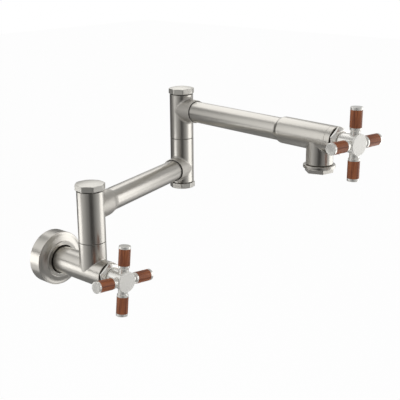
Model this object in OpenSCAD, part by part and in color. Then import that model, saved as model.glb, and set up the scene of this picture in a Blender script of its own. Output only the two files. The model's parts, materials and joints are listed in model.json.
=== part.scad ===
// Wall mounted pot filler: a double-jointed folding spout with two quarter-turn valves.
// The origin is the middle of the wall connection, on the wall's face.
// The wall lies at y = 0, the object stands out of it along -Y, and +Z is up.

/* [Wall side] */
// Distance of the first post's axis from the wall
post_offset = 75.5; // [66:0.5:90]
// Outer radius of the wall flange
flange_r = 31.8; // [29:0.1:40]
// Depth of the flange's straight rim
flange_rim = 15.3; // [12:0.1:20]
// Wall thickness of the flange
flange_t = 1.5; // [1:0.1:2.5]
// Rise of the flange's domed front from the rim to the collar
flange_rise = 4.5; // [3:0.1:7]
// Outer radius of the flange's collar
collar_r = 21.4; // [20.5:0.1:24]
// Height of the collar above the domed front
collar_lip = 1.5; // [1:0.1:3]
// Free space between the collar and the inlet body
collar_gap = 1.4; // [1.2:0.1:1.8]
// Outer radius of the inlet body
inlet_r = 15.6; // [15.2:0.1:17]
// Radius of the wall connection's female thread, half inch pipe, at its crests
pipe_thread_r = 9.3; // [9.1:0.05:9.6]
// Depth of the wall connection's thread
pipe_thread_depth = 15; // [12:0.5:18]

/* [Posts] */
// Outer radius of the first post
post_1_r = 15.5; // [15.2:0.1:17]
// Outer radius of the elbow
post_2_r = 15; // [14.6:0.1:16]
// Height of the first swivel seam above the inlet axis
seam_1_z = 35.2; // [33:0.1:38]
// Height of the first arm's axis above the first swivel seam
arm_1_rise = 38.1; // [36:0.1:43]
// Height of the first post's top above the first arm's axis
post_1_over = 20.9; // [20.5:0.1:27]
// Drop of the elbow's lower end below the first arm's axis
elbow_under = 18.6; // [18.2:0.1:23]
// Height of the elbow's swivel seam above the first arm's axis
seam_2_rise = 39.2; // [37:0.1:43]
// Height of the second arm's axis above the elbow's swivel seam
arm_2_rise = 37; // [35.5:0.1:42]
// Height of the elbow's top above the second arm's axis
elbow_over = 19.4; // [19.2:0.1:26]
// Distance from corner to axis of the first post's eight-sided cap
cap_1_corner_r = 17.3; // [16.6:0.1:18.5]
// Distance from corner to axis of the elbow's eight-sided caps
cap_2_corner_r = 16.4; // [16:0.1:18]
// Height of a cap's flat sides
cap_side = 6.2; // [4:0.1:9]
// Rise of a cap's domed top
cap_rise = 2.4; // [1.5:0.1:4]
// Height and depth of the shadow groove between a cap and its post
cap_groove = 1.2; // [0.8:0.1:1.6]

/* [Arms] */
// Turn of the first arm at rest, from the wall's line
arm_1_yaw = 14.5; // [-160:0.5:15]
// Turn of the second arm at rest, from the first arm's line
elbow_turn = -110; // [-170:1:70]
// Distance between the two posts' axes
arm_1_len = 208.7; // [180:0.1:260]
// Outer radius of both arm tubes
tube_r = 13.1; // [12.6:0.1:13.4]
// Wall thickness of the arm tubes
tube_t = 1.5; // [1:0.1:2.5]
// Reach of the first post's socket from its axis
socket_1_reach = 36; // [30:0.5:45]
// Reach of the elbow's lower socket from its axis
socket_low_reach = 24.7; // [23:0.1:35]
// Reach of the elbow's upper socket from its axis
socket_high_reach = 29; // [25:0.1:40]
// How far the first post's socket stands out beyond the tube
socket_1_wall = 2.5; // [2.1:0.1:2.9]
// How far the elbow's lower socket stands out beyond the tube
socket_low_wall = 1.8; // [1.7:0.1:1.8]
// How far the elbow's upper socket stands out beyond the tube
socket_high_wall = 1.3; // [1.1:0.1:1.8]

/* [Outlet] */
// Distance of the outlet's axis from the elbow's axis
outlet_offset = 232; // [215:0.5:290]
// Distance of the outlet valve body's rear end behind the outlet's axis
valve_2_rear = 58.5; // [52:0.5:72]
// How far the outlet valve's body stands out beyond the tube
valve_2_wall = 2.2; // [2.1:0.1:3.6]
// Outer radius of the outlet
outlet_r = 15; // [14.6:0.1:15.2]
// Drop of the outlet's lower end below the second arm's axis
outlet_drop = 29.8; // [25.5:0.1:30.5]
// Radius of the outlet nut's round collar
spout_nut_r = 18; // [17.5:0.1:20]
// How far the corners of the outlet nut's hexagon are set in from its collar
spout_step_in = 1.6; // [1.2:0.1:2.6]
// Height of the outlet nut's round collar
spout_nut_h = 4; // [3:0.1:6]
// Height of the outlet nut's hexagon
spout_step_h = 4.8; // [3:0.1:7]

/* [Valves] */
// Distance of the handle's middle plane in front of a valve's face
handle_plane = 23.3; // [22:0.1:28]
// Distance of the inlet valve's face from the first post's axis
valve_1_reach = 26; // [25:0.1:32]
// Distance of the outlet valve's face from the outlet's axis
valve_2_reach = 24.4; // [24:0.1:32]
// Distance from corner to axis of the six-sided bonnet nuts
bonnet_corner_r = 16.3; // [16.2:0.1:18]
// Height of a bonnet nut in front of the shadow groove
bonnet_h = 5.2; // [4.5:0.1:5.4]
// Height of the shadow groove under a bonnet nut
bonnet_groove = 0.8; // [0.6:0.1:1]
// Radius of a cartridge
cart_r = 10.9; // [10.5:0.05:10.95]
// Radius of a valve's stem
stem_r = 4; // [3.5:0.1:4.4]

/* [Handles] */
// Distance from the axis to the end of a handle's arm
handle_span = 40.3; // [38:0.1:50]
// Radius of a wood sleeve
sleeve_r = 6.6; // [6:0.1:7.5]
// Distance from the axis to the inner end of a wood sleeve
sleeve_from = 17.9; // [17:0.1:21]
// Length of a metal end cap
end_cap_len = 3.4; // [2.5:0.1:5]
// Radius of the hub's barrel
hub_r = 10.2; // [10:0.1:12]
// Radius of the hub's flat front disc
disc_front_r = 11.8; // [11.2:0.1:14]
// Thickness of the hub's front disc
disc_front_t = 2.2; // [1.5:0.1:3]
// Radius of an arm's neck at the hub
neck_r = 5.4; // [5:0.1:5.8]
// Turn of the inlet valve's handle at rest
handle_1_roll = -5.8; // [-20:0.1:20]
// Turn of the outlet valve's handle at rest
handle_2_roll = -1; // [-20:0.1:20]

/* [Fits] */
// Radial clearance of a turning fit
run_gap = 0.05; // [0.02:0.01:0.1]
// Radial clearance of a thread or a soldered seat
seat_gap = 0.05; // [0.02:0.01:0.1]
// Distance between two pieces that turn past each other
body_gap = 0.3; // [0.25:0.05:0.4]
// Height of the visible gap at a swivel seam
seam_gap = 0.6; // [0.5:0.05:0.8]

/* [Hidden] */
// Overrun of every cut past the solid it cuts
cut = 1;
// Smoothness of round shapes
$fn = 96;
// Sides of the caps, the bonnet nuts, the outlet nut and the retaining nuts
cap_sides = 8;
bonnet_sides = 6;
spout_sides = 6;
ret_sides = 6;
// Steps of a rounded profile
arc_steps = 8;

// Heights of the arms, the seams and the posts' ends
arm_1_z = seam_1_z + arm_1_rise;
post_1_top = arm_1_z + post_1_over;
elbow_bottom = arm_1_z - elbow_under;
seam_2_z = arm_1_z + seam_2_rise;
arm_2_z = seam_2_z + arm_2_rise;
elbow_top = arm_2_z + elbow_over;
outlet_bottom = arm_2_z - outlet_drop;
valve_2_start = outlet_offset - valve_2_rear;

// Radius of the straight water passages
bore_r = 8;
// Radius of the passage up from the inlet valve
riser_r = 7;

// Swivel spindle: thread, journal, end stud, water bore and its cross ports
spindle_thread_r = 9;
spindle_thread_len = 19;
spindle_r = 9.5;
stud_r = 7;
spindle_bore_r = 5.5;
port_r = 4.2;
// Ring shaped chamber round the ports, half its height and its radius
chamber_half = 8.5;
chamber_r = 12.2;
// Top of the upper journal above the arm's axis
journal_top = 12;
// Washer and nut that hold a barrel on its spindle
ret_washer_r = 11.8;
ret_washer_t = 1.2;
ret_nut_r = 10.5;
ret_nut_h = 3;
// Radius of the recess under a cap, and the plug that a cap screws in with
recess_r = 12.6;
plug_h = 2.4;
// Thrust washer between the two halves of a post
thrust_r = 12.9;
thrust_t = 1.8;
thrust_seat = 1.5;
// Section of the spindle's sealing rings, their groove and their distance above the seam
ring_a = 1;
ring_slack = 0.1;
ring_rises = [5, 11];
ring_top_rise = 10.25;

// Shoulder of the first post's socket: its straight part, its end radius and the tube's seat
socket_1_blend = 8;
socket_1_straight = 24;
socket_1_lip = 0.45;
socket_1_end_r = tube_r + socket_1_lip;
// Outer radii of the sockets, which follow the tubes
socket_1_r = tube_r + socket_1_wall;
socket_low_r = tube_r + socket_low_wall;
socket_high_r = tube_r + socket_high_wall;
tube_seat = 20;
// Insertion of a tube in the elbow's lower socket and in the outlet valve body
tube_insert_low = 8;
tube_insert_2 = 14;
// Visible sealing ring at a socket's mouth, low and high, and the mouth's outer edge
mouth_a_low = 0.4;
mouth_a_high = 0.3;
mouth_edge = 0.4;
// Flare of the outlet valve's body
flare_len = 6.5;
flare_lip = 0.4;
flare_start_r = tube_r + flare_lip;
valve_2_r = tube_r + valve_2_wall;

// Cartridge: length, flange, nut skirt, neck and its windows
cart_len = 31;
cart_flange_r = 12.4;
cart_flange_t = 2;
skirt_r = 13.2;
skirt_bore_r = 11.1;
skirt_len = 6;
cart_neck_r = 7;
cart_neck_end = 5.6;
window_r = 3;
window_z = 24.4;
annulus_r = 12.5;
annulus_from = 15;
annulus_to = 30;
cart_ring_a = 0.7;
cart_ring_z = 11;
// Seat seal behind a cartridge
seat_t = 1.5;
seat_r = 9.6;
seat_hole_r = 6.5;
// Ceramic discs, their water windows, and the stem's driver plate
disc_r = 9.3;
fixed_disc_t = 3.5;
moving_disc_t = 3;
disc_film = 0.1;
disc_hole_r = 2.4;
disc_hole_offset = 5;
driver_r = 8.8;
driver_t = 3.2;
stem_ring_a = 0.6;
stem_ring_z = 13;
// Bonnet nut: collar in the shadow groove, bevel of its rear corners, and its cone-shaped front
bonnet_collar_r = 13.8;
bonnet_edge = 0.4;
bonnet_side = 2.4;
bonnet_front_r = 11.4;

// Hub: rear clearance, ferrule, rods and fixing screw
hub_gap = 0.4;
ferrule_r = 6.4;
ferrule_len = 2.6;
ferrule_flare = 0.9;
hub_cover = 4.4;
rod_r = 2.5;
rod_from = 6.4;
rod_tip = 1.4;
stem_top = 19.5;
screw_r = 2;
screw_hole_from = 10;
screw_from = 11;
screw_head_r = 4.2;
screw_head_h = 3;
screw_seat = 20.2;
screw_pocket_r = 5;
cap_plug_len = 2.8;
cap_edge = 0.5;
end_cap_edge = 0.6;

// Flange: lip, support ring and edge of the collar
lip_edge = 1.3;
lip_turn = 60;
support_a = 0.65;
support_at = 12;
collar_edge = 0.6;
collar_back = 7;

// Aerator: spigot, bore, insert, washer and the insert's holes
spigot_r = 12;
spigot_h = 8.5;
aerator_bore_r = 9.6;
insert_inset = 0.5;
insert_flange_r = 11.3;
insert_flange_t = 1.3;
aerator_washer_t = 1.8;
aerator_hole_r = 0.9;
aerator_hole_rings = [3.2, 6.4];
nut_edge = 1;
spout_step_r = spout_nut_r - spout_step_in;
nut_face_gap = 0.25;

// Turns of the eight-sided and six-sided pieces about their axes
post_cap_turn = 1.5;
elbow_cap_turn = 10.7;
bottom_cap_turn = 20.8;
bonnet_turn = 38;
spout_nut_turn = 25;
ret_nut_turn = 10;

// Colours as the photograph shows them
nickel = [0.66, 0.65, 0.62];
bright_nickel = [0.76, 0.75, 0.72];
brass = [0.72, 0.58, 0.30];
rubber = [0.10, 0.10, 0.10];
ceramic = [0.92, 0.91, 0.88];
wood = [0.50, 0.29, 0.20];
plastic = [0.85, 0.85, 0.83];
acetal = [0.08, 0.08, 0.08];
steel = [0.60, 0.61, 0.63];

// Places that follow from the sizes above
valve_1_face = post_offset + valve_1_reach;
valve_2_face = outlet_offset + valve_2_reach;
hub_start = bonnet_groove + bonnet_h + hub_gap;
hub_end = handle_plane + hub_cover;
cavity_depth = cart_len + seat_t;
flange_front = flange_rim + lip_edge + flange_rise;

// Outer radius of the ring at a socket's mouth
function mouth_ring_r(a) = tube_r + seat_gap + 2 * a;
// Points of an arc about c from angle a0 to a1
function arc(c, r, a0, a1) =
    [for (i = [0 : arc_steps]) let (a = a0 + (a1 - a0) * i / arc_steps) c + r * [cos(a), sin(a)]];

// Frames. The inlet's and the valves' own Z axis points towards the handle, with Y up.
module inlet_frame() {
    rotate([90, 0, 0]) children();
}
module post_frame() {
    translate([0, -post_offset, 0]) rotate([0, 0, arm_1_yaw]) children();
}
module elbow_frame() {
    post_frame() translate([arm_1_len, 0, 0]) children();
}
module arm_2_frame() {
    elbow_frame() rotate([0, 0, elbow_turn]) children();
}
module valve_1_frame() {
    inlet_frame() translate([0, 0, valve_1_face]) children();
}
module valve_2_frame() {
    arm_2_frame() translate([valve_2_face, 0, arm_2_z]) rotate([90, 0, 90]) children();
}
module along_x() {
    rotate([0, 90, 0]) children();
}

// A straight cylinder between two heights
module rod_between(r, z0, z1) {
    translate([0, 0, z0]) cylinder(r = r, h = z1 - z0);
}
// A flat ring between two heights
module washer_between(r_out, r_in, z0, z1) {
    difference() {
        rod_between(r_out, z0, z1);
        rod_between(r_in, z0 - cut, z1 + cut);
    }
}
// A round sealing ring of section a, with its outside at r_out
module sealing_ring(r_out, a, z) {
    translate([0, 0, z]) rotate_extrude() translate([r_out - a, 0]) circle(r = a, $fn = 24);
}
// The groove that such a ring lies in, cut from outside
module ring_groove(r_out, a, z) {
    half = a + ring_slack;
    difference() {
        rod_between(r_out + cut, z - half, z + half);
        rod_between(r_out - 2 * half, z - half - cut, z + half + cut);
    }
}

// Domed, eight-sided cap on a narrow neck, standing on z = 0, which screws into a post with a short plug
module domed_cap(turn, post_r, corner_r) {
    dome_r = (pow(corner_r, 2) + pow(cap_rise, 2)) / (2 * cap_rise);
    translate([0, 0, cap_groove]) intersection() {
        rotate([0, 0, turn]) cylinder(r = corner_r, h = cap_side + cap_rise, $fn = cap_sides);
        translate([0, 0, cap_side + cap_rise - dome_r]) sphere(r = dome_r);
    }
    rod_between(post_r - cap_groove, 0, cap_groove);
    rod_between(recess_r - seat_gap, -plug_h, 0);
}

// Swivel spindle between a seam and an arm's axis, seated in the post's lower half
module swivel_spindle(seam_z, arm_z) {
    floor_z = seam_z - seam_gap / 2 - thrust_seat;
    shoulder_z = arm_z + journal_top + body_gap;
    difference() {
        union() {
            rod_between(spindle_thread_r - seat_gap, floor_z - spindle_thread_len, floor_z);
            rod_between(spindle_r, floor_z, shoulder_z);
            rod_between(stud_r, shoulder_z, shoulder_z + ret_washer_t + ret_nut_h);
        }
        rod_between(spindle_bore_r, floor_z - spindle_thread_len - cut, arm_z + port_r);
        for (a = [0, 90])
            translate([0, 0, arm_z]) rotate([0, 0, a]) along_x()
                cylinder(r = port_r, h = 2 * (spindle_r + cut), center = true);
        for (rise = ring_rises) ring_groove(spindle_r, ring_a, seam_z + rise);
        ring_groove(spindle_r, ring_a, arm_z + ring_top_rise);
    }
}
module spindle_rings(seam_z, arm_z) {
    for (rise = ring_rises) sealing_ring(spindle_r, ring_a, seam_z + rise);
    sealing_ring(spindle_r, ring_a, arm_z + ring_top_rise);
}
module thrust_washer(seam_z) {
    floor_z = seam_z - seam_gap / 2 - thrust_seat;
    washer_between(thrust_r, spindle_r + run_gap, floor_z, floor_z + thrust_t);
}
module retaining_washer(arm_z) {
    low = arm_z + journal_top + body_gap;
    washer_between(ret_washer_r, stud_r + seat_gap, low, low + ret_washer_t);
}
module retaining_nut(arm_z) {
    low = arm_z + journal_top + body_gap + ret_washer_t;
    difference() {
        translate([0, 0, low]) rotate([0, 0, ret_nut_turn])
            cylinder(r = ret_nut_r, h = ret_nut_h, $fn = ret_sides);
        rod_between(stud_r + seat_gap, low - cut, low + ret_nut_h + cut);
    }
}
// Holes of the half of a post that carries the spindle
module spindle_seat_holes(seam_z) {
    floor_z = seam_z - seam_gap / 2 - thrust_seat;
    rod_between(spindle_thread_r, floor_z - spindle_thread_len, seam_z);
    rod_between(thrust_r + seat_gap, floor_z, seam_z);
}
// Holes of the half of a post that turns on the spindle
module barrel_holes(seam_z, arm_z, top_z) {
    rod_between(spindle_r + run_gap, seam_z, top_z);
    rod_between(chamber_r, arm_z - chamber_half, arm_z + chamber_half);
    rod_between(recess_r, arm_z + journal_top, top_z + cut);
}

// Holes of a valve's body, in the valve's frame
module valve_holes() {
    rod_between(cart_r + seat_gap, -cavity_depth, cut);
    rod_between(annulus_r, -annulus_to, -annulus_from);
    rod_between(cart_flange_r + seat_gap, -skirt_len - cart_flange_t, cut);
    rod_between(skirt_r + seat_gap, -skirt_len, cut);
}
module seat_seal() {
    washer_between(seat_r, seat_hole_r, -cavity_depth, -cart_len);
}
module disc_holes(z0, z1) {
    for (side = [-1, 1])
        translate([0, side * disc_hole_offset, 0]) rod_between(disc_hole_r, z0 - cut, z1 + cut);
}
module fixed_disc() {
    difference() {
        rod_between(disc_r, -cart_len, -cart_len + fixed_disc_t);
        disc_holes(-cart_len, -cart_len + fixed_disc_t);
    }
}
module moving_disc() {
    low = -cart_len + fixed_disc_t + disc_film;
    difference() {
        rod_between(disc_r, low, low + moving_disc_t);
        rotate([0, 0, 90]) disc_holes(low, low + moving_disc_t);
    }
}
module cartridge() {
    driver_top = -cart_len + fixed_disc_t + disc_film + moving_disc_t + driver_t;
    difference() {
        union() {
            rod_between(cart_r, -cart_len, -skirt_len);
            rod_between(cart_flange_r, -skirt_len - cart_flange_t, -skirt_len);
            rod_between(cart_neck_r, -skirt_len, cart_neck_end);
        }
        rod_between(disc_r + run_gap, -cart_len - cut, driver_top + body_gap);
        rod_between(stem_r + run_gap, -cart_len, cart_neck_end + cut);
        for (a = [0, 90])
            translate([0, 0, -window_z]) rotate([0, 0, a]) along_x()
                cylinder(r = window_r, h = 2 * (cart_r + cut), center = true);
        ring_groove(cart_r, cart_ring_a, -cart_ring_z);
    }
}
module stem() {
    low = -cart_len + fixed_disc_t + disc_film + moving_disc_t;
    difference() {
        union() {
            rod_between(driver_r, low, low + driver_t);
            rod_between(stem_r, low, stem_top);
        }
        rotate([0, 0, 90]) disc_holes(low, low + driver_t);
        ring_groove(stem_r, stem_ring_a, -stem_ring_z);
        rod_between(screw_r + seat_gap, screw_hole_from, stem_top + cut);
    }
}
// Six-sided bonnet nut: a collar in the shadow groove, a threaded skirt and a cone-shaped front
module bonnet_nut() {
    top = bonnet_groove + bonnet_h;
    difference() {
        union() {
            rod_between(bonnet_collar_r, 0, bonnet_groove);
            rod_between(skirt_r, -skirt_len, 0);
            intersection() {
                translate([0, 0, bonnet_groove]) rotate([0, 0, bonnet_turn])
                    cylinder(r = bonnet_corner_r, h = bonnet_h, $fn = bonnet_sides);
                rotate_extrude() polygon([[0, bonnet_groove],
                    [bonnet_corner_r - bonnet_edge, bonnet_groove],
                    [bonnet_corner_r + bonnet_edge, bonnet_groove + 2 * bonnet_edge],
                    [bonnet_corner_r + bonnet_edge, bonnet_groove + bonnet_side],
                    [bonnet_front_r, top], [0, top]]);
            }
        }
        rod_between(cart_neck_r + seat_gap, -skirt_len - cut, top + cut);
        rod_between(skirt_bore_r, -skirt_len - cut, 0);
    }
}

// Cross handle: four arms about the hub, in the valve's frame turned by its roll
module handle_arms() {
    for (a = [0 : 90 : 270]) translate([0, 0, handle_plane]) rotate([0, 0, a]) along_x() children();
}
module handle_hub() {
    difference() {
        union() {
            rod_between(hub_r, hub_start, hub_end);
            handle_arms() rotate_extrude() polygon([[0, 0], [neck_r, 0],
                [neck_r, sleeve_from - ferrule_len - ferrule_flare], [ferrule_r, sleeve_from - ferrule_len],
                [ferrule_r, sleeve_from], [0, sleeve_from]]);
        }
        rod_between(stem_r + seat_gap, hub_start - cut, stem_top + seat_gap);
        rod_between(screw_r + seat_gap, stem_top, hub_end);
        rod_between(screw_pocket_r, screw_seat, hub_end + cut);
        rod_between(disc_front_r + seat_gap, hub_end, handle_plane + neck_r + cut);
        handle_arms() rod_between(rod_r + seat_gap, rod_from, sleeve_from + cut);
    }
}
module handle_rods() {
    handle_arms() rod_between(rod_r, rod_from, handle_span - rod_tip);
}
module handle_sleeves() {
    handle_arms() washer_between(sleeve_r, rod_r + seat_gap, sleeve_from, handle_span - end_cap_len);
}
module handle_end_caps() {
    handle_arms() difference() {
        rotate_extrude() polygon([[0, handle_span - end_cap_len], [sleeve_r, handle_span - end_cap_len],
            [sleeve_r, handle_span - end_cap_edge], [sleeve_r - end_cap_edge, handle_span],
            [0, handle_span]]);
        rod_between(rod_r + seat_gap, handle_span - end_cap_len - cut, handle_span - rod_tip + seat_gap);
    }
}
module handle_screw() {
    rod_between(screw_r, screw_from, screw_seat);
    difference() {
        rod_between(screw_head_r, screw_seat, screw_seat + screw_head_h);
        translate([0, 0, screw_seat + screw_head_h / 2])
            cylinder(r = screw_r, h = screw_head_h, $fn = ret_sides);
    }
}
module front_disc() {
    top = hub_end + disc_front_t;
    rotate_extrude() polygon([[0, hub_end], [disc_front_r, hub_end], [disc_front_r, top - cap_edge],
        [disc_front_r - cap_edge, top], [0, top]]);
    rod_between(screw_pocket_r - seat_gap, hub_end - cap_plug_len, hub_end);
}

// Socket of the elbow: a straight sleeve with a bevelled mouth, and a seat for the mouth's ring
module socket_outer(r, reach) {
    rotate_extrude() polygon([[0, 0], [r, 0], [r, reach - mouth_edge], [r - mouth_edge, reach],
        [0, reach]]);
}
module socket_holes(reach, insert, a) {
    rod_between(bore_r, 0, reach);
    rod_between(tube_r + seat_gap, reach - insert, reach + cut);
    rod_between(mouth_ring_r(a) + seat_gap, reach - a - seat_gap, reach + cut);
}

// Root body
module wall_flange() {
    inner = inlet_r + collar_gap;
    lip_z = flange_rim + lip_edge;
    dome_z = lip_z + flange_rise - collar_lip;
    lip_r = flange_r - lip_edge;
    color(nickel) inlet_frame() rotate_extrude() polygon(concat(
        [[flange_r, 0]],
        arc([lip_r, flange_rim], lip_edge, 0, lip_turn),
        [[(lip_r + collar_r) / 2 + lip_edge, (lip_z + dome_z) / 2 + lip_edge / 3],
         [collar_r, dome_z], [collar_r, flange_front - collar_edge], [collar_r - collar_edge, flange_front],
         [inner + collar_edge, flange_front], [inner, flange_front - collar_edge],
         [inner, collar_back], [inner + flange_t, collar_back], [inner + flange_t, dome_z - flange_t],
         [collar_r, dome_z - flange_t], [lip_r - flange_t, flange_rim - flange_t / 3],
         [flange_r - flange_t, flange_rim - flange_t], [flange_r - flange_t, 0]]));
}
module flange_support_ring() {
    color(rubber) inlet_frame() sealing_ring(inlet_r + collar_gap - seat_gap, support_a, support_at);
}
module inlet_body() {
    stub_top = seam_1_z - seam_gap / 2;
    color(nickel) difference() {
        union() {
            inlet_frame() rod_between(inlet_r, 0, valve_1_face);
            translate([0, -post_offset, 0]) cylinder(r = post_1_r, h = stub_top);
        }
        inlet_frame() {
            rod_between(pipe_thread_r, -cut, pipe_thread_depth);
            rod_between(bore_r, 0, valve_1_face - cart_len);
        }
        valve_1_frame() valve_holes();
        translate([0, -post_offset, 0]) {
            rod_between(riser_r, 0, stub_top);
            spindle_seat_holes(seam_1_z);
        }
    }
}
module seat_seal_1() {
    color(rubber) valve_1_frame() seat_seal();
}
module fixed_disc_1() {
    color(ceramic) valve_1_frame() fixed_disc();
}
module cartridge_1() {
    color(brass) valve_1_frame() cartridge();
}
module cartridge_ring_1() {
    color(rubber) valve_1_frame() sealing_ring(cart_r, cart_ring_a, -cart_ring_z);
}
module bonnet_nut_1() {
    color(bright_nickel) valve_1_frame() bonnet_nut();
}
module swivel_spindle_1() {
    color(brass) translate([0, -post_offset, 0]) swivel_spindle(seam_1_z, arm_1_z);
}
module spindle_rings_1() {
    color(rubber) translate([0, -post_offset, 0]) spindle_rings(seam_1_z, arm_1_z);
}
module thrust_washer_1() {
    color(acetal) translate([0, -post_offset, 0]) thrust_washer(seam_1_z);
}
module retaining_washer_1() {
    color(acetal) translate([0, -post_offset, 0]) retaining_washer(arm_1_z);
}
module retaining_nut_1() {
    color(brass) translate([0, -post_offset, 0]) retaining_nut(arm_1_z);
}

// Inlet valve's handle
module handle_1_frame() {
    valve_1_frame() rotate([0, 0, handle_1_roll]) children();
}
module handle_1_stem() {
    color(brass) handle_1_frame() stem();
}
module handle_1_moving_disc() {
    color(ceramic) handle_1_frame() moving_disc();
}
module handle_1_stem_ring() {
    color(rubber) handle_1_frame() sealing_ring(stem_r, stem_ring_a, -stem_ring_z);
}
module handle_1_hub() {
    color(bright_nickel) handle_1_frame() handle_hub();
}
module handle_1_rods() {
    color(steel) handle_1_frame() handle_rods();
}
module handle_1_sleeves() {
    color(wood) handle_1_frame() handle_sleeves();
}
module handle_1_end_caps() {
    color(bright_nickel) handle_1_frame() handle_end_caps();
}
module handle_1_screw() {
    color(steel) handle_1_frame() handle_screw();
}
module handle_1_front_disc() {
    color(bright_nickel) handle_1_frame() front_disc();
}

// First arm
module arm_1_barrel() {
    color(nickel) post_frame() difference() {
        union() {
            rod_between(post_1_r, seam_1_z + seam_gap / 2, post_1_top);
            translate([0, 0, arm_1_z]) along_x() rotate_extrude() polygon(concat(
                [[0, 0], [post_1_r, 0], [socket_1_r, socket_1_blend], [socket_1_r, socket_1_straight]],
                [for (i = [1 : arc_steps]) let (t = i / arc_steps)
                    [socket_1_r - (socket_1_r - socket_1_end_r) * (1 - cos(180 * t)) / 2,
                     socket_1_straight + (socket_1_reach - socket_1_straight) * t]],
                [[0, socket_1_reach]]));
        }
        barrel_holes(seam_1_z, arm_1_z, post_1_top);
        translate([0, 0, arm_1_z]) along_x() {
            rod_between(bore_r, 0, tube_seat);
            rod_between(tube_r + seat_gap, tube_seat, socket_1_reach + cut);
        }
    }
}
module post_cap() {
    color(nickel) post_frame() translate([0, 0, post_1_top])
        domed_cap(post_cap_turn, post_1_r, cap_1_corner_r);
}
module arm_1_tube() {
    color(nickel) post_frame() translate([0, 0, arm_1_z]) along_x()
        washer_between(tube_r, tube_r - tube_t, tube_seat, arm_1_len - socket_low_reach + tube_insert_low);
}
module arm_1_mouth_ring() {
    color(rubber) elbow_frame() translate([0, 0, arm_1_z]) rotate([0, 0, 180]) along_x()
        sealing_ring(mouth_ring_r(mouth_a_low), mouth_a_low, socket_low_reach);
}
module elbow_lower_tee() {
    tee_top = seam_2_z - seam_gap / 2;
    color(nickel) elbow_frame() difference() {
        union() {
            rod_between(post_2_r, elbow_bottom, tee_top);
            translate([0, 0, arm_1_z]) rotate([0, 0, 180]) along_x()
                socket_outer(socket_low_r, socket_low_reach);
        }
        spindle_seat_holes(seam_2_z);
        rod_between(bore_r, elbow_bottom, tee_top);
        rod_between(recess_r, elbow_bottom - cut, elbow_bottom + plug_h);
        translate([0, 0, arm_1_z]) rotate([0, 0, 180]) along_x()
            socket_holes(socket_low_reach, tube_insert_low, mouth_a_low);
    }
}
module elbow_bottom_cap() {
    color(nickel) elbow_frame() translate([0, 0, elbow_bottom]) rotate([180, 0, 0])
        domed_cap(bottom_cap_turn, post_2_r, cap_2_corner_r);
}
module swivel_spindle_2() {
    color(brass) elbow_frame() swivel_spindle(seam_2_z, arm_2_z);
}
module spindle_rings_2() {
    color(rubber) elbow_frame() spindle_rings(seam_2_z, arm_2_z);
}
module thrust_washer_2() {
    color(acetal) elbow_frame() thrust_washer(seam_2_z);
}
module retaining_washer_2() {
    color(acetal) elbow_frame() retaining_washer(arm_2_z);
}
module retaining_nut_2() {
    color(brass) elbow_frame() retaining_nut(arm_2_z);
}

// Second arm
module elbow_upper_tee() {
    color(nickel) arm_2_frame() difference() {
        union() {
            rod_between(post_2_r, seam_2_z + seam_gap / 2, elbow_top);
            translate([0, 0, arm_2_z]) along_x() socket_outer(socket_high_r, socket_high_reach);
        }
        barrel_holes(seam_2_z, arm_2_z, elbow_top);
        translate([0, 0, arm_2_z]) along_x()
            socket_holes(socket_high_reach, socket_high_reach - tube_seat, mouth_a_high);
    }
}
module elbow_top_cap() {
    color(nickel) arm_2_frame() translate([0, 0, elbow_top])
        domed_cap(elbow_cap_turn, post_2_r, cap_2_corner_r);
}
module arm_2_tube() {
    color(nickel) arm_2_frame() translate([0, 0, arm_2_z]) along_x()
        washer_between(tube_r, tube_r - tube_t, tube_seat, valve_2_start + tube_insert_2);
}
module arm_2_mouth_ring() {
    color(rubber) arm_2_frame() translate([0, 0, arm_2_z]) along_x()
        sealing_ring(mouth_ring_r(mouth_a_high), mouth_a_high, socket_high_reach);
}
module outlet_valve_body() {
    washer_top = outlet_bottom + spigot_h + insert_flange_t + aerator_washer_t;
    color(nickel) arm_2_frame() difference() {
        union() {
            translate([0, 0, arm_2_z]) along_x() rotate_extrude() polygon(concat(
                [[0, valve_2_start]],
                [for (i = [0 : arc_steps]) let (t = i / arc_steps)
                    [flare_start_r + (valve_2_r - flare_start_r) * (1 - cos(180 * t)) / 2,
                     valve_2_start + flare_len * t]],
                [[valve_2_r, valve_2_face], [0, valve_2_face]]));
            translate([outlet_offset, 0, 0]) rod_between(outlet_r, outlet_bottom, arm_2_z);
        }
        translate([0, 0, arm_2_z]) along_x() {
            rod_between(tube_r + seat_gap, valve_2_start - cut, valve_2_start + tube_insert_2);
            rod_between(bore_r, valve_2_start, valve_2_face - cart_len);
        }
        translate([valve_2_face, 0, arm_2_z]) rotate([90, 0, 90]) valve_holes();
        translate([outlet_offset, 0, 0]) {
            rod_between(riser_r, outlet_bottom, arm_2_z);
            rod_between(spigot_r + seat_gap, outlet_bottom - cut, washer_top);
        }
    }
}
module seat_seal_2() {
    color(rubber) valve_2_frame() seat_seal();
}
module fixed_disc_2() {
    color(ceramic) valve_2_frame() fixed_disc();
}
module cartridge_2() {
    color(brass) valve_2_frame() cartridge();
}
module cartridge_ring_2() {
    color(rubber) valve_2_frame() sealing_ring(cart_r, cart_ring_a, -cart_ring_z);
}
module bonnet_nut_2() {
    color(bright_nickel) valve_2_frame() bonnet_nut();
}
module outlet_frame() {
    arm_2_frame() translate([outlet_offset, 0, outlet_bottom - nut_face_gap]) children();
}
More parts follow.
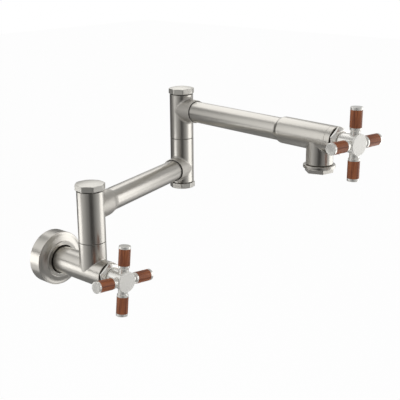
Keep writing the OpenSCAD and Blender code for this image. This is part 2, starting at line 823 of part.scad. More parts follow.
module outlet_nut() {
    total = spout_nut_h + spout_step_h;
    color(nickel) outlet_frame() difference() {
        union() {
            rotate_extrude() polygon([[0, 0], [spout_nut_r - nut_edge, 0], [spout_nut_r, -nut_edge],
                [spout_nut_r, nut_edge - spout_nut_h], [spout_nut_r - nut_edge, -spout_nut_h],
                [0, -spout_nut_h]]);
            translate([0, 0, -total]) rotate([0, 0, spout_nut_turn])
                cylinder(r = spout_step_r, h = spout_step_h + nut_edge, $fn = spout_sides);
            rod_between(spigot_r, 0, spigot_h);
        }
        rod_between(aerator_bore_r, -total - cut, spigot_h + cut);
    }
}
module aerator_insert() {
    low = -spout_nut_h - spout_step_h + insert_inset;
    top = spigot_h + insert_flange_t;
    color(plastic) outlet_frame() difference() {
        union() {
            rod_between(aerator_bore_r - seat_gap, low, spigot_h);
            rod_between(insert_flange_r, spigot_h, top);
        }
        rod_between(aerator_hole_r, low - cut, top + cut);
        for (i = [0 : len(aerator_hole_rings) - 1])
            for (k = [0 : 6 * (i + 1) - 1])
                rotate([0, 0, k * 60 / (i + 1)]) translate([aerator_hole_rings[i], 0, 0])
                    rod_between(aerator_hole_r, low - cut, top + cut);
    }
}
module aerator_washer() {
    low = spigot_h + insert_flange_t;
    color(rubber) outlet_frame()
        washer_between(spigot_r, riser_r + seat_gap, low, low + aerator_washer_t + nut_face_gap);
}

// Outlet valve's handle
module handle_2_frame() {
    valve_2_frame() rotate([0, 0, handle_2_roll]) children();
}
module handle_2_stem() {
    color(brass) handle_2_frame() stem();
}
module handle_2_moving_disc() {
    color(ceramic) handle_2_frame() moving_disc();
}
module handle_2_stem_ring() {
    color(rubber) handle_2_frame() sealing_ring(stem_r, stem_ring_a, -stem_ring_z);
}
module handle_2_hub() {
    color(bright_nickel) handle_2_frame() handle_hub();
}
module handle_2_rods() {
    color(steel) handle_2_frame() handle_rods();
}
module handle_2_sleeves() {
    color(wood) handle_2_frame() handle_sleeves();
}
module handle_2_end_caps() {
    color(bright_nickel) handle_2_frame() handle_end_caps();
}
module handle_2_screw() {
    color(steel) handle_2_frame() handle_screw();
}
module handle_2_front_disc() {
    color(bright_nickel) handle_2_frame() front_disc();
}

wall_flange();
flange_support_ring();
inlet_body();
seat_seal_1();
fixed_disc_1();
cartridge_1();
cartridge_ring_1();
bonnet_nut_1();
swivel_spindle_1();
spindle_rings_1();
thrust_washer_1();
retaining_washer_1();
retaining_nut_1();
handle_1_stem();
handle_1_moving_disc();
handle_1_stem_ring();
handle_1_hub();
handle_1_rods();
handle_1_sleeves();
handle_1_end_caps();
handle_1_screw();
handle_1_front_disc();
arm_1_barrel();
post_cap();
arm_1_tube();
arm_1_mouth_ring();
elbow_lower_tee();
elbow_bottom_cap();
swivel_spindle_2();
spindle_rings_2();
thrust_washer_2();
retaining_washer_2();
retaining_nut_2();
elbow_upper_tee();
elbow_top_cap();
arm_2_tube();
arm_2_mouth_ring();
outlet_valve_body();
seat_seal_2();
fixed_disc_2();
cartridge_2();
cartridge_ring_2();
bonnet_nut_2();
outlet_nut();
aerator_insert();
aerator_washer();
handle_2_stem();
handle_2_moving_disc();
handle_2_stem_ring();
handle_2_hub();
handle_2_rods();
handle_2_sleeves();
handle_2_end_caps();
handle_2_screw();
handle_2_front_disc();
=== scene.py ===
"""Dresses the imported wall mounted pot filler: a folding, double-jointed spout with two cross handles.

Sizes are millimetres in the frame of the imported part, and become metres when a mesh is made.
"""

import json
import logging
import math
from dataclasses import dataclass
from enum import Enum
from typing import Any, Sequence

import bpy
import numpy as np
from mathutils import Matrix, Vector


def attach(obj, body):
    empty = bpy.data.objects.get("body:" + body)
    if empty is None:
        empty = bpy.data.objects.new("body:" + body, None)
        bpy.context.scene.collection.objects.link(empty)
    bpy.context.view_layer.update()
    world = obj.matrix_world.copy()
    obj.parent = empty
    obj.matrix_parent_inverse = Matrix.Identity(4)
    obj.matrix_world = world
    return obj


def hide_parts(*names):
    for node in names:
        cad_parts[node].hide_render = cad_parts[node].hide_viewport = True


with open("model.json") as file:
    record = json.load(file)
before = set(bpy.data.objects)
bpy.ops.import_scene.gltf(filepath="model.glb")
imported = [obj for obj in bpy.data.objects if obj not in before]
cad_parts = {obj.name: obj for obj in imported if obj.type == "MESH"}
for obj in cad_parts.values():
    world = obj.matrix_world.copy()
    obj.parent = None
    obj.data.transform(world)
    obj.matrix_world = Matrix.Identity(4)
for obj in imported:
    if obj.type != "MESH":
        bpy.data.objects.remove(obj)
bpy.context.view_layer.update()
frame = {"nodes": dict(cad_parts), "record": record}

log = logging.getLogger("pot_filler")

Array = np.ndarray
Pair = tuple[float, float]
Triple = tuple[float, float, float]

MM = 0.001
# Columns round a piece, round a handle's arm and round the flange
COLUMNS, ARM_COLUMNS, FLANGE_COLUMNS = 128, 64, 192
# Steps of a rounded edge, a fillet, a ring's section and an eased change of radius
EDGE_STEPS, FILLET_STEPS, HOOP_STEPS, EASE_STEPS = 5, 8, 20, 13
# Steps of a polygon's rounded corner, and of the side between two corners
POLYGON_CORNER_STEPS, POLYGON_SIDE_STEPS = 4, 7
# Radius of a sharp edge, and the cosine between its sides above which an edge counts as sharp
SHARP, SMOOTH_BEND = 0.06, -0.9
# Share of a side that a rounded edge may take up
SIDE_SHARE = 0.42
# How far past a rounding the next point lies, in parts of its reach, on a profile and on a polygon
PROFILE_MARGIN, POLYGON_MARGIN = 1.12, 1.15
# Where a branch starts inside the body that carries it, and how far a neck reaches into what it holds
ROOT, LAP = 1.0, 0.1
# How a fillet's hidden row is tucked in: share of its width, and depth in parts of the fillet
TUCK_IN, TUCK_DOWN = 0.96, 0.6
# Largest width in millimetres of a row that counts as one point
POLE = 1e-6
# Middle value of a noise
NOISE_MIDDLE = 0.5
UP = (0.0, 0.0, 1.0)


class Grain(Enum):
    """Which way a finish's fine lines run: how much the pattern is squeezed in local X, Y and Z."""

    TURNED = (0.05, 0.05, 1.0)
    ACROSS = (1.0, 0.03, 1.0)


class Coat(Enum):
    """Which material of its piece a patch gets."""

    MAIN = 0
    # SHADOW: a near black colour painted on groove necks and collars as the shade in the groove
    SHADOW = 1
    SATIN = 2


# Places and axes


@dataclass(frozen=True)
class Axis:
    """A placed axis, in millimetres: local Z runs along it and local X on the side of across."""

    origin: Triple
    along: Triple
    across: Triple

    def basis(self) -> Array:
        """Rows of the local X, Y and Z directions, at right angles and of length one."""
        z = np.array(self.along, float)
        z /= np.linalg.norm(z)
        x = np.array(self.across, float)
        x -= z * (x @ z)
        x /= np.linalg.norm(x)
        return np.stack([x, np.cross(z, x), z])

    def to_row(self, local: Array) -> Array:
        """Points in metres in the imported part's frame, of local points in millimetres."""
        return (np.array(self.origin, float) + local @ self.basis()) * MM

    def at(self, x: float = 0.0, y: float = 0.0, z: float = 0.0) -> "Axis":
        """The same axis with its origin moved to a local point."""
        moved = np.array(self.origin, float) + np.array([x, y, z]) @ self.basis()
        return Axis(tuple(moved), self.along, self.across)

    def turned(self, degrees: float) -> "Axis":
        """The same axis with its local X turned about it."""
        x, y, _ = self.basis()
        a = math.radians(degrees)
        return Axis(self.origin, self.along, tuple(math.cos(a) * x + math.sin(a) * y))

    def sideways(self, sign: float = 1.0) -> "Axis":
        """An axis from the same origin along local X, or against it, with its X along the old Z."""
        rows = self.basis()
        return Axis(self.origin, tuple(sign * rows[0]), tuple(rows[2]))

    def upright(self) -> "Axis":
        """A level branch's axis with its local X up the post that carries it."""
        return Axis(self.origin, self.along, UP)


# Shapes: each is a grid of points, rows along a profile and columns round the axis


@dataclass
class Patch:
    """A grid of local points in millimetres with the axis that places it.

    Attributes:
        points: rows by columns by three, columns going round the axis.
        axis: where the patch lies.
        ring: True where the last row joins the first, as on a ring.
        coat: the piece's own finish, a near black painted shade on a groove's neck or collar, or satin on
            a cast socket.
    """

    points: Array
    axis: Axis
    ring: bool = False
    coat: Coat = Coat.MAIN


def parabola(start: Array, corner: Array, end: Array, steps: int) -> list[Array]:
    """Points of the bend (1-t)^2 S + 2t(1-t) P + t^2 E that touches both sides of a corner P."""
    return [
        (1 - t) ** 2 * start + 2 * t * (1 - t) * corner + t**2 * end
        for t in np.linspace(0.0, 1.0, steps + 1)
    ]


def rounded(line: Array, radii: Sequence[float]) -> Array:
    """A broken line whose inner corners are replaced by parabolas that touch both sides.

    A bend starts and ends at the corner's radius from the corner, or nearer where a side is short.
    One more point before and after it keeps the flat sides' shading flat. A corner without a radius
    gets a very small one where it bends by more than about 25 degrees, and otherwise stays as it is.

    Args:
        line: k by n by two distances from the axis and heights.
        radii: a radius for each of the k - 2 inner corners.

    Returns:
        An array of more rows, by n by two.
    """
    rows = [line[0]]
    for before, corner, after, radius in zip(line, line[1:], line[2:], radii):
        back, ahead = before - corner, after - corner
        back_len = np.linalg.norm(back, axis=1, keepdims=True)
        ahead_len = np.linalg.norm(ahead, axis=1, keepdims=True)
        if radius <= 0:
            bend = (back * ahead).sum(1) / (back_len * ahead_len)[:, 0]
            if bend.max() < SMOOTH_BEND:
                rows.append(corner)
                continue
            radius = SHARP
        reach = np.minimum(radius, SIDE_SHARE * np.minimum(back_len, ahead_len))
        to_start, to_end = back / back_len * reach, ahead / ahead_len * reach
        rows += [
            corner + to_start * PROFILE_MARGIN,
            *parabola(corner + to_start, corner, corner + to_end, EDGE_STEPS),
            corner + to_end * PROFILE_MARGIN,
        ]
    return np.stack([*rows, line[-1]])


def circle(steps: int) -> Array:
    """Angles that go once round in equal steps."""
    return np.arange(steps) * 2 * math.pi / steps


def swept(profile: Array, angles: Array) -> Array:
    """A profile carried round the axis: x = d cos a, y = d sin a, z = h.

    Args:
        profile: rows by columns or by one, by two: distances and heights.
        angles: the columns' angles.

    Returns:
        Points, rows by columns by three.
    """
    profile = np.broadcast_to(profile, (len(profile), len(angles), 2))
    distance, height = profile[..., 0], profile[..., 1]
    return np.stack([distance * np.cos(angles), distance * np.sin(angles), height], axis=-1)


def lathe(
    axis: Axis,
    corners: Sequence[tuple[Any, Any]],
    radii: Sequence[float],
    around: Array | int = COLUMNS,
    ring: bool = False,
    coat: Coat = Coat.MAIN,
) -> Patch:
    """A profile with rounded corners, carried round the axis: a turned piece, or one with flat sides.

    Args:
        axis: the middle axis.
        corners: distance and height of each corner, each one number or one for every angle, with
            the solid on the profile's left.
        radii: rounding of each corner, without the two ends of an open profile.
        around: the columns' angles, or the number of equal steps.
        ring: True where the profile is a closed loop off the axis.
        coat: its material on the piece.

    Returns:
        The patch.
    """
    angles = circle(around) if isinstance(around, int) else around
    line = np.stack([np.stack(np.broadcast_arrays(*pair, angles)[:2], axis=-1) for pair in corners])
    if ring:
        middle = (line[:1] + line[-1:]) / 2
        line = np.concatenate([middle, line, middle])
    profile = rounded(line, radii)
    return Patch(swept(profile[:-1] if ring else profile, angles), axis, ring, coat)


def bar(
    axis: Axis,
    radius: float,
    low: float,
    high: float,
    edges: Sequence[float] = (0.0, 0.0),
    around: int = COLUMNS,
    coat: Coat = Coat.MAIN,
) -> Patch:
    """A round bar.

    Args:
        axis: its axis.
        radius: its radius.
        low: height of its lower end.
        high: height of its upper end.
        edges: rounding of the lower and the upper edge.
        around: number of steps round it.
        coat: its material on the piece.

    Returns:
        The patch.
    """
    corners = [(0.0, low), (radius, low), (radius, high), (0.0, high)]
    return lathe(axis, corners, edges, around, coat=coat)


def hoop(axis: Axis, radius: float, section: float, z: float) -> Patch:
    """A round ring: distance r + a cos v and height z + a sin v from its axis."""
    v = circle(HOOP_STEPS) - math.pi / 2
    profile = np.stack([radius + section * np.cos(v), z + section * np.sin(v)], axis=-1)
    return Patch(swept(profile[:, None, :], circle(COLUMNS)), axis, True)


def eased(start_r: float, end_r: float, start: float, end: float) -> list[Pair]:
    """Profile points of a soft change of radius: r = r0 + (r1 - r0)(1 - cos 180t)/2 at z0 + (z1 - z0)t.

    Args:
        start_r: radius at the start.
        end_r: radius at the end.
        start: height of the start.
        end: height of the end.

    Returns:
        Distances and heights.
    """
    t = np.linspace(0.0, 1.0, EASE_STEPS + 1)
    wave = (1 - np.cos(math.pi * t)) / 2
    return list(zip(start_r + (end_r - start_r) * wave, start + (end - start) * t))


def outline(sides: int, corner_r: float, soften: float, turn: float) -> tuple[Array, Array]:
    """The edge of a regular polygon whose corners are rounded by parabolas.

    Args:
        sides: number of sides.
        corner_r: distance from the axis to a corner before it is rounded.
        soften: distance along each side at which its rounding starts.
        turn: angle of one corner, in degrees.

    Returns:
        Distances from the axis and angles.
    """
    a = math.radians(turn) + np.arange(-1, sides + 2) * 2 * math.pi / sides
    corners = corner_r * np.stack([np.cos(a), np.sin(a)], axis=-1)
    margin = soften * POLYGON_MARGIN
    line = []
    for i in range(1, sides + 1):
        corner = corners[i]
        side_len = np.linalg.norm(corners[i + 1] - corner)
        back = (corners[i - 1] - corner) / side_len
        ahead = (corners[i + 1] - corner) / side_len
        start, end = corner + back * soften, corner + ahead * soften
        inner = np.linspace(margin, side_len - margin, POLYGON_SIDE_STEPS + 1)[1:-1]
        line += [
            corner + back * margin,
            *parabola(start, corner, end, POLYGON_CORNER_STEPS),
            corner + ahead * margin,
            *[corner + ahead * s for s in inner],
        ]
    edge = np.array(line)
    return np.hypot(edge[:, 0], edge[:, 1]), np.arctan2(edge[:, 1], edge[:, 0])


def saddle(
    axis: Axis, main_r: float, branch_r: float, fillet: float, coat: Coat = Coat.MAIN
) -> Patch:
    """The hollow fillet where a round branch along local Z leaves a round main body along local X.

    A ball of the fillet's radius f rolls in the corner. Its middle c lies at R + f from the main axis
    and r + f from the branch axis, so y = (r + f) sin a, x = (r + f) cos a and z = sqrt((R + f)^2 - y^2).
    The fillet's points are c - f d, where d turns from the main body's normal to the branch's normal.
    A last row inside both bodies closes its section.

    Args:
        axis: from the main body's axis out along the branch, with local X along the main body.
        main_r: radius of the main body.
        branch_r: radius of the branch.
        fillet: radius of the ball.
        coat: its material on the piece.

    Returns:
        The patch.
    """
    a = circle(COLUMNS)
    big, small = main_r + fillet, branch_r + fillet
    y = small * np.sin(a)
    z = np.sqrt(np.maximum(big**2 - y**2, 0.0))
    centre = np.stack([small * np.cos(a), y, z], axis=-1)
    to_main = np.stack([0 * y, y, z], axis=-1) / big
    to_branch = np.stack([np.cos(a), np.sin(a), 0 * a], axis=-1)
    rows = []
    for t in np.linspace(0.0, 1.0, FILLET_STEPS + 1):
        d = (1 - t) * to_main + t * to_branch
        d /= np.linalg.norm(d, axis=1, keepdims=True)
        rows.append(centre - fillet * d)
    inside = (rows[0] + rows[-1]) / 2 * np.array([TUCK_IN, TUCK_IN, 1.0])
    inside[:, 2] -= fillet * TUCK_DOWN
    return Patch(np.stack([*rows, inside]), axis, True, coat)


def filled(mesh: bpy.types.Mesh, patches: Sequence[Patch], coats: list[Coat]) -> None:
    """Puts the patches into one mesh, with quads between neighbouring rows and columns.

    A row whose points coincide is one pole with triangles round it. The points' local places are kept
    in the attribute "local", so that a finish can follow each patch's own axis.

    Args:
        mesh: the empty mesh.
        patches: its surfaces.
        coats: the coats in the order of the mesh's materials.
    """
    points, local, start = [], [], 0
    quads, tris, quad_coats, tri_coats = [], [], [], []
    for patch in patches:
        grid = patch.points
        rows, cols = grid.shape[:2]
        poles = np.abs(grid - grid[:, :1]).max(axis=(1, 2)) < POLE
        first = start + np.concatenate([[0], np.cumsum(np.where(poles, 1, cols))[:-1]])
        flat = np.concatenate([grid[i, :1] if poles[i] else grid[i] for i in range(rows)])
        points.append(patch.axis.to_row(flat))
        local.append(flat * MM)
        j = np.arange(cols)
        k = (j + 1) % cols
        pairs = [(i, i + 1) for i in range(rows - 1)] + ([(rows - 1, 0)] if patch.ring else [])
        for low, high in pairs:
            if poles[low] and poles[high]:
                continue
            a, b = first[low], first[high]
            number = np.full(cols, coats.index(patch.coat))
            if poles[low]:
                tris.append(np.stack([np.full(cols, a), b + k, b + j], 1))
                tri_coats.append(number)
            elif poles[high]:
                tris.append(np.stack([a + j, a + k, np.full(cols, b)], 1))
                tri_coats.append(number)
            else:
                quads.append(np.stack([a + j, a + k, b + k, b + j], 1))
                quad_coats.append(number)
        start += len(flat)
    every = np.concatenate(points)
    quad = np.concatenate(quads) if quads else np.zeros((0, 4), int)
    tri = np.concatenate(tris) if tris else np.zeros((0, 3), int)
    loops = np.concatenate([quad.ravel(), tri.ravel()]).astype(np.int32)
    starts = np.concatenate([np.arange(len(quad)) * 4, len(quad) * 4 + np.arange(len(tri)) * 3])
    numbers = np.concatenate([*quad_coats, *tri_coats]).astype(np.int32)
    mesh.vertices.add(len(every))
    mesh.vertices.foreach_set("co", every.astype(np.float32).ravel())
    mesh.loops.add(len(loops))
    mesh.loops.foreach_set("vertex_index", loops)
    mesh.polygons.add(len(starts))
    mesh.polygons.foreach_set("loop_start", starts.astype(np.int32))
    mesh.polygons.foreach_set("material_index", numbers)
    mesh.update(calc_edges=True)
    mesh.validate()
    mesh.shade_smooth()
    places = mesh.attributes.new("local", "FLOAT_VECTOR", "POINT")
    places.data.foreach_set("vector", np.concatenate(local).astype(np.float32).ravel())


# Finishes


@dataclass(frozen=True)
class Wire:
    """An output of a shader node that can stand in sums, differences and products."""

    sheet: "Sheet"
    out: bpy.types.NodeSocket | None

    def _with(self, operation: str, other: Any, swap: bool = False) -> "Wire":
        """One Math node of this output and another output or number, which comes first if swapped."""
        pair = (other, self) if swap else (self, other)
        return self.sheet.node("ShaderNodeMath", {0: pair[0], 1: pair[1]}, operation=operation)

    def __add__(self, other: Any) -> "Wire":
        """Sum."""
        return self._with("ADD", other)

    __radd__ = __add__

    def __sub__(self, other: Any) -> "Wire":
        """Difference."""
        return self._with("SUBTRACT", other)

    def __rsub__(self, other: Any) -> "Wire":
        """Difference, with the number first."""
        return self._with("SUBTRACT", other, True)

    def __mul__(self, other: Any) -> "Wire":
        """Product."""
        return self._with("MULTIPLY", other)

    __rmul__ = __mul__

    def larger(self, other: Any) -> "Wire":
        """The larger of the two."""
        return self._with("MAXIMUM", other)


def about(middle: float, spread: float, noise: Wire) -> Wire:
    """A value that a noise moves up and down about its middle, by spread from lowest to highest."""
    return (noise - NOISE_MIDDLE) * spread + middle


class Sheet:
    """The node tree of one material or world."""

    def __init__(self, tree: bpy.types.NodeTree) -> None:
        """Empties the tree."""
        self.tree = tree
        tree.nodes.clear()

    def node(
        self, kind: str, inputs: dict[Any, Any] | None = None, output: Any = 0, **settings: Any
    ) -> Wire:
        """Adds a node.

        Args:
            kind: Blender's name of the node's type.
            inputs: socket names or numbers with the wires or values that they get.
            output: name or number of the output that is returned.
            settings: properties of the node, which are set first.

        Returns:
            The output.
        """
        made = self.tree.nodes.new(kind)
        for name, value in settings.items():
            setattr(made, name, value)
        for name, value in (inputs or {}).items():
            if isinstance(value, Wire):
                self.tree.links.new(value.out, made.inputs[name])
            else:
                made.inputs[name].default_value = value
        return Wire(self, made.outputs[output] if len(made.outputs) else None)

    def local(self) -> Wire:
        """Places measured from the patch's own axis."""
        return self.node("ShaderNodeAttribute", output="Vector", attribute_name="local")

    def noise(self, places: Wire, scale: Triple, detail: float, distortion: float = 0.0) -> Wire:
        """A noise that is stretched along the axes.

        Args:
            places: the places that it reads.
            scale: waves in a metre along X, Y and Z.
            detail: number of finer layers.
            distortion: how much its lines waver.

        Returns:
            Its value, from nought to one.
        """
        stretched = self.node("ShaderNodeMapping", {"Vector": places, "Scale": scale})
        return self.node(
            "ShaderNodeTexNoise",
            {"Vector": stretched, "Scale": 1.0, "Detail": detail, "Distortion": distortion},
        )

    def bump(self, height: Wire, strength: float, depth: float) -> Wire:
        """Normals of a relief of a depth in metres."""
        values = {"Height": height, "Strength": strength, "Distance": depth}
        return self.node("ShaderNodeBump", values, output="Normal")

    def glow(self, tone: float) -> Wire:
        """A grey that shines by itself, where one is white."""
        return self.node("ShaderNodeEmission", {"Color": (tone, tone, tone, 1.0), "Strength": 1.0})

    def rays(self) -> tuple[Wire, Wire]:
        """One for rays from the camera or through glass, one for reflections, otherwise nought."""
        camera = self.node("ShaderNodeLightPath", output="Is Camera Ray")
        clear = self.node("ShaderNodeLightPath", output="Is Transmission Ray")
        return camera.larger(clear), self.node("ShaderNodeLightPath", output="Is Glossy Ray")


@dataclass(frozen=True)
class Finish:
    """A material that is built from its own shader.

    Attributes:
        title: name of the material.
    """

    title: str

    def shader(self, sheet: Sheet) -> Wire:
        """Puts the finish's nodes on an empty sheet and returns its shader."""
        raise NotImplementedError

    def material(self) -> bpy.types.Material:
        """Makes the material."""
        made = bpy.data.materials.new(self.title)
        made.use_nodes = True
        sheet = Sheet(made.node_tree)
        sheet.node("ShaderNodeOutputMaterial", {"Surface": self.shader(sheet)})
        return made


@dataclass(frozen=True)
class BrushedMetal(Finish):
    """Nickel plate, brushed in fine lines that follow each piece's own axis.

    Attributes:
        colour: what a white lamp looks like in it.
        roughness: how far the brushing spreads a reflection.
        spread: how far the roughness goes up or down from line to line.
        relief: height of the lines' relief.
        grain: which way the lines run.
        metallic: one for plain metal, and less where fine scratches scatter light like chalk.
        fine: fine lines in a metre.
        broad: broad lines in a metre.
        fine_share: share of the fine lines in the sum.
        depth: depth of the relief in metres.
    """

    colour: Triple = (0.66, 0.635, 0.585)
    roughness: float = 0.29
    spread: float = 0.02
    relief: float = 0.03
    grain: Grain = Grain.TURNED
    metallic: float = 1.0
    fine: float = 3000.0
    broad: float = 620.0
    fine_share: float = 0.6
    depth: float = 0.0002

    def shader(self, sheet: Sheet) -> Wire:
        """Fine and broad noises, drawn out along the grain, move the roughness and the relief."""
        places = sheet.local()
        grain = np.array(self.grain.value)
        fine = sheet.noise(places, tuple(self.fine * grain), detail=2.0)
        broad = sheet.noise(places, tuple(self.broad * grain), detail=3.0)
        lines = fine * self.fine_share + broad * (1.0 - self.fine_share)
        return sheet.node(
            "ShaderNodeBsdfPrincipled",
            {
                "Base Color": (*self.colour, 1.0),
                "Metallic": self.metallic,
                "Roughness": about(self.roughness, 2 * self.spread, lines),
                "Normal": sheet.bump(lines, self.relief, self.depth),
            },
        )


@dataclass(frozen=True)
class OiledWood(Finish):
    """Reddish brown hardwood, turned and oiled, with its grain along the piece.

    Attributes:
        light: colour between the pores.
        dark: colour of the growth lines.
        growth: growth lines in a metre along X, Y and Z.
        pores: pores in a metre along X, Y and Z.
        growth_mix: level above which growth lines darken the wood, and how strongly.
        pore_mix: the same for the pores.
        waver: how much the growth lines waver.
        roughness: its middle roughness.
        spread: how much the roughness varies.
        gloss: level of the reflections at the surface.
        oil: share of the oil's film.
        oil_roughness: roughness of that film.
        relief: strength of the pores' relief.
        depth: depth of the relief in metres.
    """

    light: Triple = (0.350, 0.112, 0.040)
    dark: Triple = (0.130, 0.034, 0.013)
    growth: Triple = (330.0, 330.0, 22.0)
    pores: Triple = (2600.0, 2600.0, 160.0)
    growth_mix: Pair = (0.38, 3.2)
    pore_mix: Pair = (0.5, 0.9)
    waver: float = 0.6
    roughness: float = 0.45
    spread: float = 0.2
    gloss: float = 0.3
    oil: float = 0.08
    oil_roughness: float = 0.3
    relief: float = 0.12
    depth: float = 0.0003

    def shader(self, sheet: Sheet) -> Wire:
        """Growth lines and short pores, drawn out along the grain, mix the two colours."""
        places = sheet.local()
        growth = sheet.noise(places, self.growth, detail=4.0, distortion=self.waver)
        pores = sheet.noise(places, self.pores, detail=2.0)
        (growth_level, growth_force), (pore_level, pore_force) = self.growth_mix, self.pore_mix
        colour = sheet.node(
            "ShaderNodeMix",
            {
                "Factor": (growth - growth_level) * growth_force + (pores - pore_level) * pore_force,
                "A": (*self.light, 1.0),
                "B": (*self.dark, 1.0),
            },
            output="Result",
            data_type="RGBA",
        )
        return sheet.node(
            "ShaderNodeBsdfPrincipled",
            {
                "Base Color": colour,
                "Roughness": about(self.roughness, self.spread, growth),
                "Specular IOR Level": self.gloss,
                "Coat Weight": self.oil,
                "Coat Roughness": self.oil_roughness,
                "Normal": sheet.bump(pores, self.relief, self.depth),
            },
        )


@dataclass(frozen=True)
class PlainFinish(Finish):
    """A plain material with a faint grain in its roughness.

    Attributes:
        colour: its colour.
        roughness: its middle roughness.
        metallic: one for metal, otherwise nought.
        grain: grains in a metre.
        spread: how much the roughness varies.
    """

    colour: Triple
    roughness: float = 0.5
    metallic: float = 0.0
    grain: float = 1800.0
    spread: float = 0.12

    def shader(self, sheet: Sheet) -> Wire:
        """A noise of half a millimetre varies the roughness."""
        places = sheet.node("ShaderNodeTexCoord", output="Object")
        values = {"Vector": places, "Scale": self.grain, "Detail": 2.0}
        cloud = sheet.node("ShaderNodeTexNoise", values)
        return sheet.node(
            "ShaderNodeBsdfPrincipled",
            {
                "Base Color": (*self.colour, 1.0),
                "Metallic": self.metallic,
                "Roughness": about(self.roughness, self.spread, cloud),
            },
        )


class Finishes:
    """Every finish of the object, made once."""

    def __init__(self) -> None:
        """Makes the finishes and lists them by the record's slots."""
        self.turned = BrushedMetal("nickel_turned").material()
        self.bright = BrushedMetal(
            "nickel_bright", (0.84, 0.825, 0.78), roughness=0.18, spread=0.05, metallic=0.65
        ).material()
        self.face = BrushedMetal(
            "nickel_flat_brushed",
            (0.80, 0.785, 0.745),
            roughness=0.50,
            spread=0.12,
            relief=0.06,
            grain=Grain.ACROSS,
            metallic=0.4,
        ).material()
        self.cap = BrushedMetal(
            "nickel_faceted", (0.74, 0.72, 0.67), roughness=0.44, spread=0.08
        ).material()
        self.satin = BrushedMetal(
            "nickel_satin", (0.62, 0.595, 0.55), roughness=0.50, spread=0.06, relief=0.02
        ).material()
        self.wood = OiledWood("oiled_wood").material()
        # Painted shade: a near black colour that stands in for the shadow in deep grooves, not a colour
        # of the metal
        self.shadow = PlainFinish("painted_groove_shade", (0.10, 0.095, 0.085), 0.55, 1.0).material()
        self.rubber = PlainFinish("seal_rubber", (0.02, 0.02, 0.02), 0.6).material()
        self.by_slot = {
            "brushed_nickel": self.turned,
            "polished_nickel": self.bright,
            "wood": self.wood,
            "brass": PlainFinish("machined_brass", (0.72, 0.52, 0.24), 0.3, 1.0).material(),
            "steel": PlainFinish("machined_steel", (0.56, 0.57, 0.58), 0.3, 1.0).material(),
            "ceramic": PlainFinish("lapped_ceramic", (0.88, 0.87, 0.83), 0.2).material(),
            "seal_rubber": self.rubber,
            "slide_plastic": PlainFinish("black_acetal", (0.03, 0.03, 0.03), 0.5).material(),
            "aerator_plastic": PlainFinish("white_nylon", (0.82, 0.82, 0.79), 0.5).material(),
        }


# The workshop that turns patches into dressed pieces


def shown(name: str, data: bpy.types.ID) -> bpy.types.Object:
    """A new object of this data, put into the scene."""
    made = bpy.data.objects.new(name, data)
    bpy.context.scene.collection.objects.link(made)
    return made


class Workshop:
    """Makes pieces, hangs each on its body and counts them."""

    def __init__(self, finishes: Finishes) -> None:
        """Keeps the finishes and reads the record's slots."""
        self.finishes = finishes
        self.coats = {Coat.SHADOW: finishes.shadow, Coat.SATIN: finishes.satin}
        self.slots = {s["node"]: s["material_slot"] for s in frame["record"]["subparts"]}
        self.count = 0

    def piece(
        self,
        name: str,
        body: str,
        finish: bpy.types.Material,
        patches: Sequence[Patch],
        stands_for: str,
    ) -> None:
        """Makes one piece.

        Args:
            name: the piece's name.
            body: the body that it rides on.
            finish: its material.
            patches: its surfaces.
            stands_for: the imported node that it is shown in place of.
        """
        mesh = bpy.data.meshes.new(name)
        coats = [coat for coat in Coat if any(patch.coat is coat for patch in patches)]
        for coat in coats:
            mesh.materials.append(self.coats.get(coat, finish))
        filled(mesh, patches, coats)
        made = shown(name, mesh)
        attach(made, body)
        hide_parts(stands_for)
        self.count += 1
        log.info("piece %s on %s: %d faces", name, body, len(mesh.polygons))

    def dress_nodes(self) -> None:
        """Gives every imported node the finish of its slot."""
        for name, node in frame["nodes"].items():
            node.data.materials.clear()
            node.data.materials.append(self.finishes.by_slot[self.slots[name]])


# The skeleton that all pieces share


@dataclass
class Skeleton:
    """Axes of the object at rest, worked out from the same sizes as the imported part."""

    post_offset: float = 75.5
    arm_1_yaw: float = 14.5
    elbow_turn: float = -110.0
    arm_1_len: float = 208.7
    outlet_offset: float = 232.0
    arm_1_z: float = 73.3
    arm_2_z: float = 149.5
    valve_1_reach: float = 26.0
    valve_2_reach: float = 24.4
    handle_1_roll: float = -5.8
    handle_2_roll: float = -1.0

    def __post_init__(self) -> None:
        """Works out the axes: up each post, along each arm, down the outlet and out of each valve."""
        self.face_1 = self.post_offset + self.valve_1_reach
        self.face_2 = self.outlet_offset + self.valve_2_reach
        # Out of the wall, with local Y up, and from there out of the inlet valve's face
        self.inlet = Axis((0.0, 0.0, 0.0), (0.0, -1.0, 0.0), (1.0, 0.0, 0.0))
        self.valve_1 = self.inlet.at(z=self.face_1)
        # Up the first post and the elbow, with local X along the first arm
        self.post = self.upright((0.0, -self.post_offset, 0.0), self.arm_1_yaw)
        self.elbow = self.post.at(x=self.arm_1_len)
        # Along the first arm from the post, and from the elbow back to the post
        self.arm_1 = self.post.at(z=self.arm_1_z).sideways()
        self.arm_1_back = self.elbow.at(z=self.arm_1_z).sideways(-1.0)
        # Up the elbow with local X along the second arm, and along that arm
        self.elbow_high = self.upright(self.elbow.origin, self.arm_1_yaw + self.elbow_turn)
        self.arm_2 = self.elbow_high.at(z=self.arm_2_z).sideways()
        # Down the outlet, with local X along the arm, and out of the outlet valve's face, with Y up
        start = self.elbow_high.at(x=self.outlet_offset, z=self.arm_2_z)
        self.outlet = Axis(start.origin, (0.0, 0.0, -1.0), start.across)
        face = self.elbow_high.at(x=self.face_2, z=self.arm_2_z)
        self.valve_2 = Axis(face.origin, face.across, tuple(face.basis()[1]))

    @staticmethod
    def upright(place: Triple, degrees: float) -> Axis:
        """An upright axis with its local X at an angle from the frame's X."""
        a = math.radians(degrees)
        return Axis(place, UP, (math.cos(a), math.sin(a), 0.0))


# Sub-assemblies


